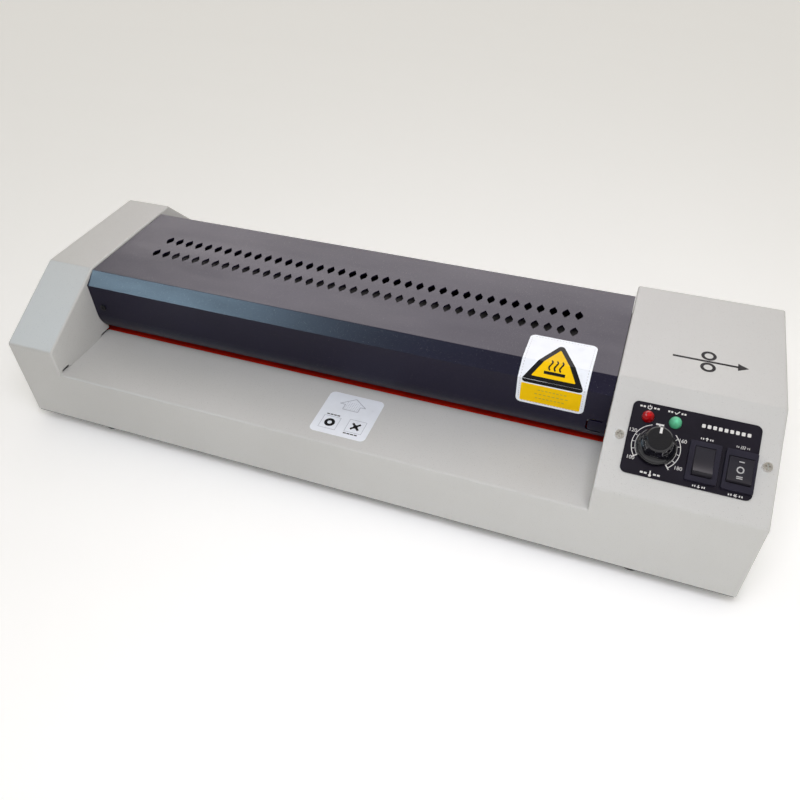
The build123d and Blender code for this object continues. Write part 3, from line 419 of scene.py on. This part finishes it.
# ---------------------------------------------------------------- control panel print
def dial_marks():
    """Double-line scale arcs on both sides of the knob, with end caps and ticks."""
    outer_line, inner_line = (11.75, 11.4), (10.0, 9.75)      # outer and inner radius of each
    cap_from, cap_to = 9.75, 12.6
    tick_from, tick_to = 10.2, 11.5
    shapes = []
    for start, sweep, hidden in ((108, 108, 40), (-52, 98, 12)):
        shapes += arc_band(0, 0, *outer_line, start, sweep)
        shapes += arc_band(0, 0, *inner_line, start + (hidden if start > 0 else 0), sweep - hidden)
    for angle in (216, -52):
        a = radians(angle)
        shapes += bar(cap_from * cos(a), cap_from * sin(a), cap_to * cos(a), cap_to * sin(a), 0.55)
    for angle in (196, 176, 157, 34, 14, -8, -30):
        a = radians(angle)
        shapes += bar(tick_from * cos(a), tick_from * sin(a), tick_to * cos(a), tick_to * sin(a), 0.3)
    shapes += bar(-2.0, 11.9, 1.8, 11.9, 0.9) + bar(-0.1, 10.8, -0.1, 11.6, 0.9)
    printed("dial_marks", shapes, on_slope(OVERLAY_TOP), INK_WHITE)


def text_mesh(name, text, size):
    """Mesh of short generic text, flat, centred on the origin, in metres."""
    curve = bpy.data.curves.new(name, "FONT")
    curve.body = text
    curve.size = size
    curve.align_x = "CENTER"
    curve.align_y = "CENTER"
    curve.extrude = INK / 2
    curve.resolution_u = 3
    holder = bpy.data.objects.new(name + "_text", curve)
    bpy.context.scene.collection.objects.link(holder)
    depsgraph = bpy.context.evaluated_depsgraph_get()
    data = bpy.data.meshes.new_from_object(holder.evaluated_get(depsgraph))
    bpy.data.objects.remove(holder)
    return data


def dial_numbers():
    """Scale numbers at the ends of the dial's arcs and half-way up them."""
    size = 2.7 * MM
    for number, x, y in (("100", -10.8, -7.9), ("120", -12.2, 6.3), ("160", 11.7, 5.9),
                         ("180", 11.9, -8.2)):
        data = text_mesh(f"dial_number_{number}", number, size)
        place = on_slope(OVERLAY_TOP + INK / 2)
        for vertex in data.vertices:
            vertex.co = place(vertex.co.x + x * MM, vertex.co.y + y * MM, vertex.co.z)
        add_piece(f"dial_number_{number}", data, INK_WHITE, ROOT)


def arrow(direction):
    """Short arrow; direction 1 points up the slope, -1 down."""
    return (bar(0, -1.1 * direction, 0, 0.3 * direction, 0.55)
            + [[(-1.1, 0.1 * direction), (1.1, 0.1 * direction), (0, 1.2 * direction)][::direction]])


def snow_star():
    """Six-armed star for cold."""
    arm = 1.15
    shapes = []
    for turn in range(3):
        a = radians(60 * turn)
        shapes += bar(-arm * cos(a), -arm * sin(a), arm * cos(a), arm * sin(a), 0.35)
    return shapes


def heat_waves():
    """Three rising strokes for heat."""
    shapes = []
    for x in (-1.3, 0.0, 1.3):
        shapes += arc_band(x + 0.45, -0.7, 0.95, 0.55, 120, 120, 8)
        shapes += arc_band(x - 0.45, 0.7, 0.95, 0.55, -60, 120, 8)
    return shapes


def thermometer():
    """Bulb and stem."""
    return disc(0, -0.75, 0.7, 20) + rounded(0, 0.4, 0.6, 2.4, 0.29)


def flanked(shapes, x, y, scale, inner, outer):
    """Mark with two short dashes at each side."""
    dashes = []
    step = (outer - inner) / 2
    for side in (-1, 1):
        for start in (inner, inner + step):
            dashes += bar(side * start, 0, side * (start + step - 0.5), 0, 0.9)
    return shifted(shapes, x, y, scale) + shifted(dashes, x, y)


def panel_symbols():
    """Generic marks in place of words: lamps, arrows, heat and cold."""
    red = [value / MM for value in slope_coords(middle("power_led"))]
    green = [value / MM for value in slope_coords(middle("ready_led"))]
    travel = [value / MM for value in slope_coords(Vector(JOINTS["direction_rocker"]["pos_m"]))]
    mode = [value / MM for value in slope_coords(Vector(JOINTS["mode_rocker"]["pos_m"]))]
    power = arc_band(0, 0, 1.15, 0.75, 125, 290, 20) + bar(0, 0.1, 0, 1.3, 0.4)
    tick = bar(-1.1, 0.1, -0.3, -0.8, 0.45) + bar(-0.42, -0.8, 1.2, 0.9, 0.45)
    shapes = flanked(power, red[0], red[1] + 4.9, 1.0, 2.0, 5.2)
    shapes += flanked(tick, green[0], green[1] + 5.0, 1.0, 2.0, 4.8)
    shapes += flanked(arrow(1), travel[0], travel[1] + 12.3, 0.8, 1.4, 3.4)
    shapes += flanked(arrow(-1), travel[0], travel[1] - 12.0, 0.75, 1.4, 3.4)
    shapes += flanked(heat_waves(), mode[0], mode[1] + 12.3, 0.62, 1.9, 3.5)
    shapes += flanked(snow_star(), mode[0], mode[1] - 12.0, 0.8, 1.6, 3.8)
    shapes += flanked(thermometer(), -0.2, -14.0, 1.0, 1.5, 5.2)
    printed("panel_symbols", shapes, on_slope(OVERLAY_TOP), INK_WHITE)
    squares = []
    for i in range(9):
        squares += rounded(travel[0] - 2.6 + 2.62 * i, travel[1] + 18.9, 1.7, 1.9, 0.4, 3)
    printed("panel_rule", squares, on_slope(OVERLAY_TOP), INK_WHITE)


def mode_marks():
    """Dash, ring and double dash on the dished face of the three-position rocker."""
    centre = Vector(JOINTS["mode_rocker"]["pos_m"])
    arm, lift = 6.6 * MM, radians(26)            # from the pivot to a raised end of the face
    reach = arm * cos(lift)
    dish = 1.9 * MM                              # face over the pivot at its middle
    sag = arm * sin(lift) - dish
    bend = (reach ** 2 + sag ** 2) / (2 * sag)

    def place(u, v, w):
        height = dish + bend - (bend ** 2 - v ** 2) ** 0.5
        return centre + ACROSS * u + UP_SLOPE * v + OUTWARDS * (height + w)

    marks = bar(-1.2, 4.1, 1.2, 4.1, 0.45)
    marks += arc_band(0, 0.2, 1.75, 1.15)
    marks += bar(-1.4, -3.3, 1.4, -3.3, 0.5) + bar(-1.4, -4.2, 1.4, -4.2, 0.5)
    printed("mode_marks", marks, place, INK_GREY, "mode_rocker",
            folds=[step * 0.7 * MM for step in range(-7, 8)])


def knob_pointer():
    """White line on the knob's cap, folded down over its bevel."""
    cap = 14.6 * MM                              # the cap's height over the slope
    edge = 5.6 * MM                              # where the bevel starts

    def place(u, v, w):
        """v runs outwards; past the cap's edge it follows the bevel."""
        over = max(0.0, v - edge)
        out = v - over * 0.42
        return (DIAL_CENTRE + ACROSS * u + UP_SLOPE * (out + w * 0.5)
                + OUTWARDS * (cap - over * 0.92 + w))

    printed("knob_pointer", bar(0, 2.7, 0, 6.9, 1.2), place, INK_WHITE, "temperature_dial",
            folds=(edge,), thickness=0.06 * MM)


# ---------------------------------------------------------------- stickers
def cover_path():
    """Corners of the cover's front outline under the warning sticker, in (y, z)."""
    low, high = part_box("warning_label")
    front = low.y + 0.15 * MM                    # the cover's face, a film's thickness behind
    shoulder_z, roof_z = 84.5 * MM, 91.0 * MM    # the chamfer's lower and upper edge
    crest = front + 8.7 * MM                     # the chamfer's depth
    return [(high.y, roof_z), (crest, roof_z), (front, shoulder_z), (front, low.z)]


def warning_print():
    """Heat triangle and a plain bar, wrapped over the cover's folds inside a fine dashed frame."""
    low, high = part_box("warning_label")
    path = [Vector(point) for point in cover_path()]
    lengths = [(b - a).length for a, b in zip(path, path[1:])]
    total = sum(lengths)
    normals = [Vector(((b - a).y, -(b - a).x)).normalized() for a, b in zip(path, path[1:])]
    skin = 0.16 * MM                             # from the cover to just over the film
    width, height = (high.x - low.x) / MM, total / MM

    def layer(level):
        """Placing function of one ink layer; v = 0 is the middle of the sticker's wrapped length."""
        def place(u, v, w):
            run = total / 2 - v
            index = 0
            while index < len(lengths) - 1 and run > lengths[index] + 1e-9:
                run -= lengths[index]
                index += 1
            direction = (path[index + 1] - path[index]).normalized()
            point = path[index] + direction * run + normals[index] * (skin + level * INK + w)
            return Vector(((low.x + high.x) / 2 + u, point.x, point.y))
        return place

    def ink(name, shapes, level, material):
        printed(name, shapes, layer(level), material,
                folds=(total / 2 - lengths[0], total / 2 - lengths[0] - lengths[1]))

    top = height / 2
    middle_y = top - 24.6
    ink("warning_border", rounded_triangle(0, middle_y, 35.0, 1.9), 0, INK_BLACK)
    ink("warning_field", rounded_triangle(0, middle_y + 1.2, 23.6, 0.4), 1, INK_YELLOW)
    plate_y = middle_y - 2.6
    waves = shifted(heat_waves(), 0, middle_y + 2.0, 2.2) + bar(-5.6, plate_y, 5.6, plate_y, 1.7)
    ink("warning_symbol", waves, 2, INK_BLACK)
    bar_y = middle_y - 17.0
    ink("warning_bar", rounded(0, bar_y, width - 4.4, 12.2, 0.7), 0, INK_YELLOW)
    rules = []
    for row, start, end in ((2.9, -7.0, 9.0), (0.1, -8.6, 10.2), (-2.7, -8.0, 8.4)):
        for i in range(8):
            x = start + (end - start) * i / 8
            rules += bar(x, bar_y + row, x + (end - start) / 12, bar_y + row, 0.7)
    ink("warning_rules", rules, 1, INK_OCHRE)
    dashes = []
    margin, corner = 1.4, 3.0
    tall, wide, line = 26, 19, 0.22              # dashes up a side, dashes along an end, width
    for side in (-1, 1):
        x = side * (width / 2 - margin)
        for i in range(tall):
            y = top - corner - i * (height - 2 * corner) / tall
            dashes += bar(x, y, x, y - 0.8, line)
        y = side * (top - margin)
        for i in range(wide):
            x = -width / 2 + corner + i * (width - 2 * corner) / wide
            dashes += bar(x, y, x + 0.9, y, line)
    ink("warning_frame", dashes, 0, INK_GREY)


def table_print():
    """Faint arrow, ring and cross with short rules on the table sticker."""
    low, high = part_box("table_label")
    place = on_flat((low + high) / 2, high.z)
    house = [(-4.9, 8.6), (-8.2, 8.6), (-0.1, 14.5), (8.0, 8.6), (4.7, 8.6), (4.7, 4.3), (-4.9, 4.3)]
    outline = []
    for (x0, y0), (x1, y1) in zip(house, house[1:] + house[:1]):
        outline += bar(x0, y0, x1, y1, 0.5)
    for row in range(5):
        for column in range(-3, 4):
            outline += disc(-0.1 + 1.25 * column, 5.4 + 1.3 * row, 0.26, 8)
    printed("table_arrow", outline, place, INK_PALE)
    ring, cross = (-7.6, -8.4), (8.2, -7.3)      # middles of the two small symbols
    half_width, half_height = 5.2, 5.0
    frames = []
    for x, y in (ring, cross):
        for side in (-1, 1):
            edge_x, edge_y = x + side * half_width, y + side * half_height
            frames += bar(x - half_width, edge_y, x + half_width, edge_y, 0.3)
            frames += bar(edge_x, y - half_height, edge_x, y + half_height, 0.3)
    printed("table_frames", frames, place, INK_PALE)
    dark = arc_band(*ring, 3.2, 1.35)
    point = ((1.0, -0.8), (3.5, -0.2), (3.5, 0.2), (1.0, 0.8))      # (radius, angle from its axis)
    for turn in range(4):
        a = radians(45 + 90 * turn)
        dark += [[(cross[0] + r * cos(a + t), cross[1] + r * sin(a + t)) for r, t in point]]
    dark += disc(*cross, 1.4)
    for x0, x1, y in ((-12.0, -3.4, -1.9), (3.1, 12.1, -13.8)):
        step = (x1 - x0) / 4
        for i in range(4):
            dark += bar(x0 + step * i, y, x0 + step * i + 0.82 * step, y, 0.8)
    printed("table_symbols", dark, place, INK_BLACK)


def housing_symbol():
    """Generic mark on the right housing: a sheet passing between two rollers."""
    panel_low, panel_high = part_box("control_panel")
    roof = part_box("casing")[1].z
    centre = Vector(((panel_low.x + panel_high.x) / 2 + 2 * MM, panel_high.y + 36 * MM, 0))
    place = on_flat(centre, roof)
    outer, inner = 3.9, 2.2                      # radii of each roller's ring
    apart = 4.9                                  # from the sheet to a roller's middle
    mark = arc_band(0, apart, outer, inner) + arc_band(0, -apart, outer, inner)
    mark += bar(-18, 0, 15, 0, 1.5)
    mark += [[(14.6, -3.0), (20.0, 0), (14.6, 3.0)]]
    printed("housing_symbol", mark, place, INK_BLACK)


# ---------------------------------------------------------------- lamps
def lamp_cup(name, node):
    """Reflector cup and chip that show through the lamp's lens."""
    across, up = slope_coords(middle(node))
    mesh = bmesh.new()
    bmesh.ops.create_cone(mesh, cap_ends=True, segments=24, radius1=0.7 * MM, radius2=1.5 * MM,
                          depth=1.6 * MM)
    bmesh.ops.bevel(mesh, geom=mesh.edges[:], offset=0.1 * MM, segments=2, affect="EDGES")
    turn = Matrix((ACROSS, UP_SLOPE, OUTWARDS)).transposed().to_4x4()
    centre = DIAL_CENTRE + ACROSS * across + UP_SLOPE * up + OUTWARDS * 0.9 * MM
    mesh.transform(Matrix.Translation(centre) @ turn)
    data = bpy.data.meshes.new(name)
    mesh.to_mesh(data)
    mesh.free()
    add_piece(name, data, LAMP_CUP, ROOT)


# ---------------------------------------------------------------- stage
FLOOR_HALF = 4.0                     # half the width of the table top


def pale_floor():
    """Table top under the machine."""
    mesh = bmesh.new()
    bmesh.ops.create_grid(mesh, x_segments=2, y_segments=2, size=FLOOR_HALF)
    data = bpy.data.meshes.new("floor")
    mesh.to_mesh(data)
    mesh.free()
    floor = bpy.data.objects.new("floor", data)
    material, tree, shader, coords = new_material("floor_white")
    grain = noise(tree, coords, 40.0, 3.0)
    tone = two_tones(tree, grain, (0.955, 0.955, 0.955), (0.965, 0.965, 0.965))
    tree.links.new(tone, shader.inputs["Base Color"])
    shader.inputs["Roughness"].default_value = 0.9
    shader.inputs["Emission Color"].default_value = (1, 1, 1, 1)
    shader.inputs["Emission Strength"].default_value = 0.20
    floor.data.materials.append(material)
    bpy.context.scene.collection.objects.link(floor)


def soft_light(name, place, target, size, power, tint, lit):
    """Rectangular soft box aimed at target; lit is sheen (reflections alone) or matt."""
    lamp = bpy.data.lights.new(name, "AREA")
    lamp.shape = "RECTANGLE"
    lamp.size, lamp.size_y = size
    lamp.energy = power
    lamp.color = tint
    holder = bpy.data.objects.new(name, lamp)
    holder.location = place
    holder.rotation_euler = (Vector(target) - Vector(place)).to_track_quat("-Z", "Y").to_euler()
    holder.visible_diffuse = lit == "matt"
    holder.visible_glossy = lit == "sheen"
    bpy.context.scene.collection.objects.link(holder)


def studio():
    """A blue window seen only as sheen on the left, a sheen panel behind, and two small soft boxes."""
    centre = (CAD_BOX[0] + CAD_BOX[1]) / 2
    soft_light("window_left", (-1.12, -0.44, 1.3), (-0.15, 0, 0.08), (0.62, 0.62), 27, (0.55, 0.82, 1.0),
               lit="sheen")
    soft_light("sheen_rear", (-0.5, 1.75, 1.55), centre, (2.6, 1.2), 44, (1.0, 0.93, 0.99), lit="sheen")
    soft_light("box_top", (0.14, -0.26, 0.55), (0.07, -0.08, 0.05), (0.3, 0.25), 1.6, (0.93, 0.93, 1.0),
               lit="matt")
    soft_light("box_right", (0.52, -0.62, 0.20), (0.22, -0.09, 0.03), (0.3, 0.3), 0.6, (1.0, 1.0, 0.9),
               lit="matt")
    room_light()
    bpy.context.scene.view_settings.view_transform = "Standard"


def room_light():
    """Soft world light, dim overhead at the front and brighter towards the rear and the sides."""
    world = bpy.data.worlds.new("studio")
    world.use_nodes = True
    tree = world.node_tree
    coords = tree.nodes.new("ShaderNodeTexCoord")
    split = tree.nodes.new("ShaderNodeSeparateXYZ")
    tree.links.new(coords.outputs["Generated"], split.inputs["Vector"])
    strength = remap(tree, split.outputs["Y"], 0.21, 0.73, -0.75, 0.62)
    backdrop = tree.nodes["Background"]
    backdrop.inputs["Color"].default_value = (1.0, 0.955, 0.86, 1)
    tree.links.new(strength, backdrop.inputs["Strength"])
    bpy.context.scene.world = world


def camera():
    """Three-quarter view from the front right, above the control panel, slightly rolled."""
    data = bpy.data.cameras.new("camera")
    data.sensor_width = 36.0
    data.lens = 32.88
    data.clip_start = 0.01
    place = Vector((0.1405, -0.3431, 0.3386))
    forward = Vector((-0.2714, 0.6891, -0.6719)).normalized()
    up = Vector((-0.2159, 0.6367, 0.7402))
    right = forward.cross(up).normalized()
    up = right.cross(forward)
    turn = Matrix((right, up, -forward)).transposed().to_4x4()
    holder = bpy.data.objects.new("camera", data)
    holder.matrix_world = Matrix.Translation(place) @ turn
    bpy.context.scene.collection.objects.link(holder)
    bpy.context.scene.camera = holder


dress_nodes()
dial_marks()
dial_numbers()
panel_symbols()
mode_marks()
knob_pointer()
warning_print()
table_print()
housing_symbol()
lamp_cup("power_lamp_cup", "power_led")
lamp_cup("ready_lamp_cup", "ready_led")
pale_floor()
studio()
camera()
